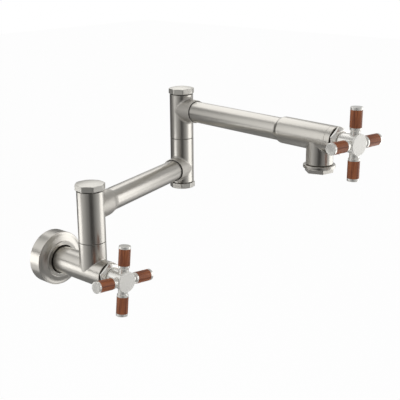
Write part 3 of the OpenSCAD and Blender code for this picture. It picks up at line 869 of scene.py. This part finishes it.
@dataclass(frozen=True)
class WallFlange:
    """The deep round rose at the wall: a straight rim, a rolled lip, a low dome and a collar."""

    rim_r: float = 31.8
    rim: float = 15.3
    lip: float = 1.3
    roll: Pair = (1.7, 0.5)
    dome: Pair = (5.0, 3.2)
    wall: float = 1.5
    inner_bevel: Pair = (1.0, 0.4)
    collar_r: float = 21.4
    collar_h: float = 1.5
    bore_r: float = 17.0
    front: float = 21.1
    collar_back: float = 7.0
    # Rounding of each corner of the profile, from the rim at the wall round to the inside
    edges: tuple[float, ...] = (
        0.25, 1.2, 0.9, 2.5, 0.5, 0.55, 0.5, 0.3, 0.3, 0.3, 0.3, 0.3, 0.25
    )

    def build(self, shop: Workshop, bones: Skeleton) -> None:
        """Turns the shell from one closed profile.

        Args:
            shop: makes the piece.
            bones: gives the inlet's axis.
        """
        lip, inner = self.rim + self.lip, self.rim_r - self.wall
        dome_z, throat = self.front - self.collar_h, self.bore_r + self.wall
        corners = [
            (self.rim_r, 0.0),
            (self.rim_r, lip),
            (self.rim_r - self.roll[0], lip + self.roll[1]),
            (self.rim_r - self.dome[0], self.rim + self.dome[1]),
            (self.collar_r, dome_z),
            (self.collar_r, self.front),
            (self.bore_r, self.front),
            (self.bore_r, self.collar_back),
            (throat, self.collar_back),
            (throat, dome_z - self.wall),
            (inner - self.inner_bevel[0], self.rim - self.inner_bevel[1]),
            (inner, self.rim - self.wall),
            (inner, 0.0),
        ]
        shell = lathe(bones.inlet, corners, self.edges, FLANGE_COLUMNS, ring=True)
        shop.piece("flange_shell", "wall_body", shop.finishes.turned, [shell], "wall_flange")


@dataclass(frozen=True)
class InletTee:
    """The inlet's horizontal body with its threaded socket, and the post's fixed stub."""

    body_r: float = 15.6
    post_r: float = 15.5
    seam_z: float = 34.9
    thread_r: float = 9.3
    thread_depth: float = 15.0
    thread_h: float = 0.8
    thread_margin: float = 1.0
    pitch: float = 1.81
    passage_r: float = 8.0
    passage_depth: float = 40.0
    fillet: float = 0.9
    throat_edge: float = 0.2
    mouth_edge: float = 0.1
    rear_edge: float = 0.4
    face_edge: float = 0.35
    seam_edge: float = 0.3

    def build(self, shop: Workshop, bones: Skeleton) -> None:
        """Turns the body with a saw-toothed bore for the thread, and the stub with its saddle.

        Args:
            shop: makes the piece.
            bones: gives the inlet's and the post's axes.
        """
        end, margin = bones.face_1, self.thread_margin
        teeth = np.arange(self.thread_depth - margin, margin, -self.pitch / 2)
        bore = [(self.thread_r - (0.0 if i % 2 else self.thread_h), z) for i, z in enumerate(teeth)]
        corners = [
            (0.0, self.passage_depth),
            (self.passage_r, self.passage_depth),
            (self.passage_r, self.thread_depth),
            (self.thread_r, self.thread_depth),
            *bore,
            (self.thread_r + self.thread_h, 0.0),
            (self.body_r, 0.0),
            (self.body_r, end),
            (0.0, end),
        ]
        throat, outside = [0.0, *[self.throat_edge] * 2], [self.rear_edge, self.face_edge]
        edges = [*throat, *[0.0] * len(bore), self.mouth_edge, *outside]
        body = lathe(bones.inlet, corners, edges)
        stub = bar(bones.post, self.post_r, ROOT, self.seam_z, (0.0, self.seam_edge))
        corner = Axis(bones.post.origin, UP, bones.inlet.along)
        joint = saddle(corner, self.body_r, self.post_r, self.fillet)
        shop.piece("inlet_tee", "wall_body", shop.finishes.turned, [body, stub, joint], "inlet_body")


@dataclass(frozen=True)
class DomedCap:
    """An eight-sided cap with a domed top and softened edges, on a narrow neck over a post's end."""

    sides: int = 8
    corner_r: float = 16.4
    side: float = 6.2
    rise: float = 2.4
    groove: float = 1.2
    neck_r: float = 13.8
    soften: float = 0.9
    edge: float = 0.45
    shares: tuple[float, ...] = (1.0, 0.8, 0.6, 0.4, 0.2, 0.0)

    def patches(self, axis: Axis, turn: float) -> list[Patch]:
        """The neck, and the cap whose sides a sphere cuts off: z = s + rise - R + sqrt(R^2 - d^2).

        Args:
            axis: out of the post's end.
            turn: angle of one corner, in degrees.

        Returns:
            The neck, painted near black as the shade in the groove, and the cap above it.
        """
        sphere = (self.corner_r**2 + self.rise**2) / (2 * self.rise)
        distance, angles = outline(self.sides, self.corner_r, self.soften, turn)
        rings = [distance * share for share in self.shares]
        top = self.side + self.rise - sphere
        corners = [(0.0, 0.0), (distance, 0.0), *[(d, top + np.sqrt(sphere**2 - d**2)) for d in rings]]
        edges = [self.edge, self.edge, *[0.0] * (len(rings) - 2)]
        return [
            # The neck gets painted shade: a near black colour for the shadow under the cap
            bar(axis, self.neck_r, 0.0, self.groove + LAP, coat=Coat.SHADOW),
            lathe(axis.at(z=self.groove), corners, edges, angles),
        ]


@dataclass(frozen=True)
class FirstArm:
    """The first post's barrel, its cap, the arm tube and the elbow's lower half."""

    post_r: float = 15.5
    low: float = 35.5
    top: float = 94.2
    cap: DomedCap = DomedCap(corner_r=17.3, neck_r=14.3)
    cap_turn: float = 1.5
    socket_r: float = 15.6
    socket_blend: float = 8.0
    socket_straight: float = 24.0
    socket_end: float = 36.0
    socket_end_r: float = 13.55
    socket_edges: Pair = (3.0, 0.12)
    socket_inset: float = 0.01
    tube_r: float = 13.1
    tube_from: float = 20.0
    tube_to: float = 192.0
    elbow_r: float = 15.0
    elbow_low: float = 54.7
    elbow_seam: float = 112.2
    elbow_socket_r: float = 14.9
    elbow_reach: float = 24.7
    mouth: float = 0.45
    elbow_cap: DomedCap = DomedCap()
    elbow_cap_turn: float = 20.8
    ring_r: float = 13.55
    ring_a: float = 0.4
    fillet: float = 2.2
    edges: Pair = (0.3, 0.3)

    def build(self, shop: Workshop, bones: Skeleton) -> None:
        """Builds the six visible pieces of the first arm.

        Args:
            shop: makes the pieces.
            bones: gives the axes of the post, the arm and the elbow.
        """
        body, looks = "first_arm", shop.finishes
        shop.piece("post_barrel", body, looks.turned, self.barrel(bones), "arm_1_barrel")
        cap = self.cap.patches(bones.post.at(z=self.top), self.cap_turn)
        shop.piece("post_cap_dome", body, looks.cap, cap, "post_cap")
        tube = bar(bones.arm_1, self.tube_r, self.tube_from, self.tube_to)
        shop.piece("first_arm_tube", body, looks.turned, [tube], "arm_1_tube")
        back, reach = bones.arm_1_back, self.elbow_reach
        tee = [
            bar(bones.elbow, self.elbow_r, self.elbow_low, self.elbow_seam, self.edges),
            bar(back, self.elbow_socket_r, ROOT, reach, (0.0, self.mouth), coat=Coat.SATIN),
            saddle(back.upright(), self.elbow_r, self.elbow_socket_r, self.fillet, Coat.SATIN),
        ]
        shop.piece("elbow_low_tee", body, looks.turned, tee, "elbow_lower_tee")
        ring = hoop(back, self.ring_r, self.ring_a, reach)
        shop.piece("first_mouth_ring", body, looks.rubber, [ring], "arm_1_mouth_ring")
        end = bones.elbow.at(z=self.elbow_low)
        cap = self.elbow_cap.patches(Axis(end.origin, (0.0, 0.0, -1.0), end.across), self.elbow_cap_turn)
        shop.piece("elbow_low_cap", body, looks.cap, cap, "elbow_bottom_cap")

    def barrel(self, bones: Skeleton) -> list[Patch]:
        """The post's turning half, with a socket that swells a little and then eases to the tube.

        Args:
            bones: gives the axes of the post and the arm.

        Returns:
            The barrel, its socket and the fillet between them.
        """
        shoulder = eased(self.socket_r, self.socket_end_r, self.socket_straight, self.socket_end)
        corners = [
            (0.0, ROOT),
            (self.post_r, ROOT),
            (self.socket_r, self.socket_blend),
            *shoulder,
            (0.0, self.socket_end),
        ]
        swell, end = self.socket_edges
        edges = [0.0, swell, *[0.0] * (len(shoulder) - 1), end]
        branch_r = self.post_r - self.socket_inset
        return [
            bar(bones.post, self.post_r, self.low, self.top, self.edges),
            lathe(bones.arm_1, corners, edges, coat=Coat.SATIN),
            saddle(bones.arm_1.upright(), self.post_r, branch_r, self.fillet, Coat.SATIN),
        ]


@dataclass(frozen=True)
class SecondArm:
    """The elbow's upper half, its cap, the second tube and the outlet valve's body."""

    post_r: float = 15.0
    low: float = 112.8
    top: float = 168.9
    cap: DomedCap = DomedCap()
    cap_turn: float = 10.7
    socket_r: float = 14.4
    reach: float = 29.0
    mouth: float = 0.6
    ring_r: float = 13.45
    ring_a: float = 0.3
    tube_r: float = 13.1
    tube_from: float = 20.0
    tube_to: float = 187.0
    valve_start: float = 173.5
    valve_r: float = 15.3
    flare: float = 6.5
    flare_r: float = 13.5
    band_seam: float = 249.0
    band_half: float = 0.2
    band_depth: float = 0.25
    band_edge: float = 0.05
    rear_edge: float = 0.15
    face_edge: float = 0.35
    outlet_r: float = 15.0
    outlet_len: float = 29.4
    fillet: float = 1.6
    elbow_fillet: float = 3.2
    edges: Pair = (0.3, 0.3)

    def build(self, shop: Workshop, bones: Skeleton) -> None:
        """Builds the five visible pieces of the second arm.

        Args:
            shop: makes the pieces.
            bones: gives the axes of the elbow, the arm and the outlet.
        """
        body, looks = "second_arm", shop.finishes
        arm, post = bones.arm_2, bones.elbow_high
        tee = [
            bar(post, self.post_r, self.low, self.top, self.edges),
            bar(arm, self.socket_r, ROOT, self.reach, (0.0, self.mouth), coat=Coat.SATIN),
            saddle(arm.upright(), self.post_r, self.socket_r, self.elbow_fillet, Coat.SATIN),
        ]
        shop.piece("elbow_high_tee", body, looks.turned, tee, "elbow_upper_tee")
        cap = self.cap.patches(post.at(z=self.top), self.cap_turn)
        shop.piece("elbow_high_cap", body, looks.cap, cap, "elbow_top_cap")
        tube = bar(arm, self.tube_r, self.tube_from, self.tube_to)
        shop.piece("second_arm_tube", body, looks.turned, [tube], "arm_2_tube")
        ring = hoop(arm, self.ring_r, self.ring_a, self.reach)
        shop.piece("second_mouth_ring", body, looks.rubber, [ring], "arm_2_mouth_ring")
        shell = self.valve_shell(bones)
        shop.piece("outlet_valve_shell", body, looks.turned, shell, "outlet_valve_body")

    def valve_shell(self, bones: Skeleton) -> list[Patch]:
        """The flared body with a fine seam near its face, and the outlet below it.

        Args:
            bones: gives the axes of the arm and the outlet.

        Returns:
            The body, the outlet and the fillet between them.
        """
        end, seam = bones.face_2, self.band_seam
        flare = eased(self.flare_r, self.valve_r, self.valve_start, self.valve_start + self.flare)
        corners = [
            (0.0, self.valve_start),
            *flare,
            (self.valve_r, seam - self.band_half),
            (self.valve_r - self.band_depth, seam),
            (self.valve_r, seam + self.band_half),
            (self.valve_r, end),
            (0.0, end),
        ]
        band = [self.band_edge] * 3
        edges = [self.rear_edge, *[0.0] * (len(flare) - 1), *band, self.face_edge]
        return [
            lathe(bones.arm_2, corners, edges),
            bar(bones.outlet, self.outlet_r, ROOT, self.outlet_len, (0.0, self.face_edge)),
            saddle(bones.outlet, self.valve_r, self.outlet_r, self.fillet),
        ]


@dataclass(frozen=True)
class BonnetNut:
    """The six-sided nut that closes a valve, with a groove behind it whose collar is painted near black
    as shade, and its cone-shaped front.
    """

    sides: int = 6
    groove: float = 1.5
    bevel: float = 0.7
    collar_r: float = 13.4
    corner_r: float = 16.3
    soften: float = 0.7
    top: float = 6.0
    cone_h: float = 2.6
    front_r: float = 11.4
    bore_r: float = 7.1
    turn: float = 38.0
    # Rounding of each corner of the profile, from the bore at the groove round to the front
    edges: tuple[float, ...] = (0.0, 0.15, 0.15, 0.4, 0.6, 0.4)

    def build(self, shop: Workshop, axis: Axis, body: str, index: int) -> None:
        """Cuts the six-sided block with a cone: its height is h - slope (d - front radius).

        Args:
            shop: makes the piece.
            axis: out of the valve's face.
            body: the body that the nut rides on.
            index: number of the valve.
        """
        distance, angles = outline(self.sides, self.corner_r, self.soften, self.turn)
        slope = self.cone_h / (self.corner_r - self.front_r)
        corners = [
            (self.bore_r, self.groove),
            (distance - self.bevel, self.groove),
            (distance, self.groove + self.bevel),
            (distance, self.top - slope * (distance - self.front_r)),
            (self.front_r, self.top),
            (self.bore_r, self.top),
        ]
        nut = lathe(axis, corners, self.edges, angles, ring=True)
        inner, outer, high = self.bore_r + LAP, self.collar_r, self.groove + LAP
        collar = [(inner, 0.0), (outer, 0.0), (outer, high), (inner, high)]
        # The collar in the groove gets painted shade: a near black colour for the shadow there
        patches = [nut, lathe(axis, collar, [0.0] * 4, ring=True, coat=Coat.SHADOW)]
        name = f"bonnet_nut_shell_{index}"
        shop.piece(name, body, shop.finishes.bright, patches, f"bonnet_nut_{index}")


@dataclass(frozen=True)
class CrossHandle:
    """A cross handle: hub, four necks with ferrules, wood sleeves, metal end caps and a front disc."""

    plane: float = 23.3
    hub_r: float = 10.2
    hub_low: float = 6.4
    hub_high: float = 27.7
    neck_r: float = 5.4
    neck_from: float = 2.0
    neck_fillet: float = 0.7
    ferrule_r: float = 6.4
    ferrule_from: float = 15.3
    ferrule_cone: float = 0.9
    sleeve_from: float = 17.9
    sleeve_r: float = 6.6
    cap_from: float = 36.9
    cap_crown: float = 0.2
    span: float = 40.3
    disc_r: float = 11.8
    disc_top: float = 29.9
    hub_edges: Pair = (0.5, 0.2)
    neck_edges: tuple[float, ...] = (0.0, 0.6, 0.4, 0.25)
    sleeve_edges: Pair = (0.3, 0.15)
    cap_edges: Pair = (0.12, 0.8)
    disc_edges: Pair = (0.2, 0.5)

    def build(self, shop: Workshop, axis: Axis, body: str, index: int) -> None:
        """Builds the handle's four visible pieces about a valve's axis, turned by its roll.

        Args:
            shop: makes the pieces.
            axis: out of the valve's face.
            body: the body that the handle is.
            index: number of the handle.
        """
        name, looks = f"handle_{index}", shop.finishes
        middle = axis.at(z=self.plane)
        arms = [middle.turned(90.0 * k).sideways() for k in range(4)]
        hub = [bar(axis, self.hub_r, self.hub_low, self.hub_high, self.hub_edges)]
        neck = [
            (0.0, self.neck_from),
            (self.neck_r, self.neck_from),
            (self.neck_r, self.ferrule_from - self.ferrule_cone),
            (self.ferrule_r, self.ferrule_from),
            (self.ferrule_r, self.sleeve_from),
            (0.0, self.sleeve_from),
        ]
        hub += [lathe(arm, neck, self.neck_edges, ARM_COLUMNS) for arm in arms]
        for arm in arms:
            root = Axis(arm.origin, arm.along, axis.along)
            hub.append(saddle(root, self.hub_r, self.neck_r, self.neck_fillet))
        shop.piece(f"{name}_hub_shell", body, looks.bright, hub, f"{name}_hub")
        span = (self.sleeve_from, self.cap_from)
        sleeves = [bar(arm, self.sleeve_r, *span, self.sleeve_edges, ARM_COLUMNS) for arm in arms]
        shop.piece(f"{name}_wood", body, looks.wood, sleeves, f"{name}_sleeves")
        cap = [
            (0.0, self.cap_from),
            (self.sleeve_r, self.cap_from),
            (self.sleeve_r, self.span - self.cap_crown),
            (0.0, self.span),
        ]
        caps = [lathe(arm, cap, self.cap_edges, ARM_COLUMNS) for arm in arms]
        shop.piece(f"{name}_tips", body, looks.bright, caps, f"{name}_end_caps")
        disc = bar(axis, self.disc_r, self.hub_high, self.disc_top, self.disc_edges)
        shop.piece(f"{name}_disc", body, looks.face, [disc], f"{name}_front_disc")


@dataclass(frozen=True)
class OutletNut:
    """The outlet's nut: a round collar over a six-sided part, open below for the aerator."""

    sides: int = 6
    start: float = 30.05
    neck_r: float = 13.8
    neck_h: float = 0.75
    collar_r: float = 18.0
    corner_r: float = 16.4
    soften: float = 0.6
    collar_h: float = 4.0
    side_h: float = 4.8
    bore_r: float = 9.65
    turn: float = -25.0
    # Rounding of each corner of the profile, from the bore at the top round to the open end
    edges: tuple[float, ...] = (0.0, 1.2, 1.2, 0.1, 0.5, 0.2)

    def build(self, shop: Workshop, bones: Skeleton) -> None:
        """Carries the round collar, the six sides and the round bore down the outlet's axis.

        Args:
            shop: makes the piece.
            bones: gives the outlet's axis.
        """
        axis = bones.outlet.at(z=self.start)
        distance, angles = outline(self.sides, self.corner_r, self.soften, self.turn)
        end = self.collar_h + self.side_h
        corners = [
            (self.bore_r, 0.0),
            (self.collar_r, 0.0),
            (self.collar_r, self.collar_h),
            (distance, self.collar_h),
            (distance, end),
            (self.bore_r, end),
        ]
        nut = lathe(axis, corners, self.edges, angles, ring=True)
        # The neck above the nut gets painted shade: a near black colour for the shadow in the gap
        neck = bar(axis, self.neck_r, -self.neck_h, LAP, coat=Coat.SHADOW)
        shop.piece("outlet_nut_shell", "second_arm", shop.finishes.turned, [nut, neck], "outlet_nut")


# The studio


@dataclass(frozen=True)
class FloorPaint(Finish):
    """Floor paint that looks white, keeps shadows and is grey in reflections."""

    paint: float = 0.88
    white: float = 0.95
    reflected: float = 0.22

    def shader(self, sheet: Sheet) -> Wire:
        """Mixes matt paint with white for the camera, and shows grey to reflections."""
        direct, glossy = sheet.rays()
        matt = sheet.node("ShaderNodeBsdfDiffuse", {"Color": (self.paint,) * 3 + (1.0,)})
        shown = sheet.node("ShaderNodeMixShader", {0: direct * self.white, 1: matt, 2: sheet.glow(1.0)})
        return sheet.node("ShaderNodeMixShader", {0: glossy, 1: shown, 2: sheet.glow(self.reflected)})


@dataclass(frozen=True)
class CardPaint(Finish):
    """A card's own light, the same all over or changing from its left edge to its right edge."""

    tone: float
    right_tone: float | None = None

    def shader(self, sheet: Sheet) -> Wire:
        """One grey, or two mixed across the card."""
        if self.right_tone is None:
            return sheet.glow(self.tone)
        place = sheet.node("ShaderNodeTexCoord", output="Generated")
        across = sheet.node("ShaderNodeSeparateXYZ", {0: place}, output="X")
        left, right = sheet.glow(self.tone), sheet.glow(self.right_tone)
        return sheet.node("ShaderNodeMixShader", {0: across, 1: left, 2: right})


@dataclass(frozen=True)
class Panel:
    """A soft box, or a card that only reflections show, hung round the object and facing it.

    Attributes:
        name: the panel's name.
        bearing: angle to the right of the camera as seen from the object, in degrees.
        height: angle above the horizon, in degrees.
        distance: metres from the object's middle.
        size: width and height, in metres.
        tone: how bright it looks, where one is white.
        right_tone: tone at the edge of the larger bearing, where it differs.
    """

    name: str
    bearing: float
    height: float
    distance: float
    size: Pair
    tone: float
    right_tone: float | None = None


@dataclass(frozen=True)
class Studio:
    """Camera, floor, lamps and the cards that the metal shows, all in metres."""

    eye: Triple = (-0.603489, -0.793569, 0.358853)
    right: Triple = (0.674638, -0.738116, -0.006940)
    up: Triple = (0.215101, 0.187591, 0.958406)
    back: Triple = (-0.706113, -0.648069, 0.285326)
    lens: float = 78.987
    sensor: float = 36.0
    clip: Pair = (0.01, 50.0)
    middle: Triple = (0.10, -0.13, 0.08)
    floor_z: float = -0.46
    floor_half: float = 6.0
    glossy_tone: float = 0.44
    diffuse_level: float = 0.75
    boxes: tuple[Panel, ...] = (
        Panel("left_box", -90.8, -13.5, 0.368, (0.17, 0.105), 1.45),
        Panel("right_box", 103.0, -5.0, 0.49, (0.40, 0.48), 1.38),
        Panel("top_box", -162.0, 43.0, 0.90, (0.80, 0.66), 0.92),
    )
    cards: tuple[Panel, ...] = (
        Panel("front_card", 2.0, -10.0, 0.72, (0.42, 1.6), 0.05),
        Panel("left_low_card", -90.8, -26.0, 0.40, (0.18, 0.09), 0.75),
        Panel("left_gap_card", -93.0, -4.5, 0.375, (0.34, 0.06), 0.03),
        Panel("left_slit_card", -117.0, 46.0, 0.58, (0.045, 0.50), 0.02),
        Panel("left_high_card", -92.5, 28.5, 0.42, (0.30, 0.46), 0.55, 1.40),
        Panel("left_near_card", -57.0, -14.0, 0.74, (0.62, 0.50), 0.72, 0.26),
        Panel("right_near_card", 55.0, -14.0, 0.74, (0.56, 0.50), 0.24, 0.66),
        Panel("right_far_card", 132.0, -30.0, 0.60, (0.34, 0.26), 0.70),
        Panel("under_card", -90.0, -85.0, 0.38, (0.36, 0.22), 1.2),
        Panel("back_card", 166.0, 6.0, 1.1, (1.3, 1.1), 0.5),
        Panel("back_left_card", -143.0, 0.0, 0.85, (0.75, 1.0), 0.10),
    )

    def build(self) -> None:
        """Sets up the whole studio."""
        self.camera()
        self.world()
        self.floor()
        for panel in self.boxes:
            self.box(panel)
        for panel in self.cards:
            self.card(panel)

    def camera(self) -> None:
        """Puts the camera at the photograph's place."""
        data = bpy.data.cameras.new("view")
        data.lens = self.lens
        data.sensor_width = self.sensor
        data.clip_start, data.clip_end = self.clip
        made = shown("view", data)
        turn = Matrix((self.right, self.up, self.back)).transposed()
        made.matrix_world = Matrix.Translation(Vector(self.eye)) @ turn.to_4x4()
        bpy.context.scene.camera = made

    def world(self) -> None:
        """A world that is white to the camera, grey in reflections and a plain level as light."""
        world = bpy.data.worlds.new("studio")
        bpy.context.scene.world = world
        world.use_nodes = True
        sheet = Sheet(world.node_tree)
        direct, glossy = sheet.rays()
        strength = (
            direct * (1.0 - self.diffuse_level)
            + glossy * (self.glossy_tone - self.diffuse_level)
            + self.diffuse_level
        )
        white = {"Color": (1.0, 1.0, 1.0, 1.0), "Strength": strength}
        sheet.node("ShaderNodeOutputWorld", {"Surface": sheet.node("ShaderNodeBackground", white)})

    @staticmethod
    def board(name: str, half_w: float, half_h: float, z: float, paint: Finish) -> bpy.types.Object:
        """A flat board that faces up.

        Args:
            name: its name.
            half_w: half its width.
            half_h: half its height.
            z: its place along Z.
            paint: its finish.

        Returns:
            The object.
        """
        w, h = half_w, half_h
        mesh = bpy.data.meshes.new(name)
        mesh.from_pydata([(-w, -h, z), (w, -h, z), (w, h, z), (-w, h, z)], [], [(0, 1, 2, 3)])
        mesh.materials.append(paint.material())
        return shown(name, mesh)

    def floor(self) -> None:
        """A pale floor that looks white and keeps the object's shadow."""
        half = self.floor_half
        made = self.board("floor", half, half, self.floor_z, FloorPaint("floor_paint"))

    def hang(self, thing: bpy.types.Object, panel: Panel) -> None:
        """Puts a panel at its place, facing the object's middle.

        Args:
            thing: the soft box or card.
            panel: where it hangs.
        """
        yaw = math.atan2(self.back[1], self.back[0]) + math.radians(panel.bearing)
        lift = math.radians(panel.height)
        way = Vector((math.cos(yaw) * math.cos(lift), math.sin(yaw) * math.cos(lift), math.sin(lift)))
        place = Matrix.Translation(Vector(self.middle) + way * panel.distance)
        thing.matrix_world = place @ way.to_track_quat("Z", "Y").to_matrix().to_4x4()

    def box(self, panel: Panel) -> None:
        """A soft box: its power is pi times its area times its tone."""
        data = bpy.data.lights.new(panel.name, "AREA")
        data.shape = "RECTANGLE"
        data.size, data.size_y = panel.size
        data.energy = math.pi * panel.size[0] * panel.size[1] * panel.tone
        self.hang(shown(panel.name, data), panel)

    def card(self, panel: Panel) -> None:
        """A card as a studio hangs it to draw dark or pale bands on metal."""
        paint = CardPaint(panel.name, panel.tone, panel.right_tone)
        made = self.board(panel.name, panel.size[0] / 2, panel.size[1] / 2, 0.0, paint)
        self.hang(made, panel)
        made.visible_camera = False
        made.visible_diffuse = False
        made.visible_shadow = False
        made.visible_transmission = False


def main() -> None:
    """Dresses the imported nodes, builds the sub-assemblies in order and sets up the studio."""
    logging.basicConfig(level=logging.INFO, format="%(name)s: %(message)s")
    bpy.context.scene.view_settings.view_transform = "Standard"
    bones = Skeleton()
    shop = Workshop(Finishes())
    shop.dress_nodes()
    WallFlange().build(shop, bones)
    InletTee().build(shop, bones)
    BonnetNut().build(shop, bones.valve_1, "wall_body", 1)
    CrossHandle().build(shop, bones.valve_1.turned(bones.handle_1_roll), "inlet_handle", 1)
    FirstArm().build(shop, bones)
    SecondArm().build(shop, bones)
    BonnetNut().build(shop, bones.valve_2, "second_arm", 2)
    CrossHandle().build(shop, bones.valve_2.turned(bones.handle_2_roll), "outlet_handle", 2)
    OutletNut().build(shop, bones)
    Studio().build()
    log.info("%d pieces made", shop.count)


if __name__ == "__main__":
    main()
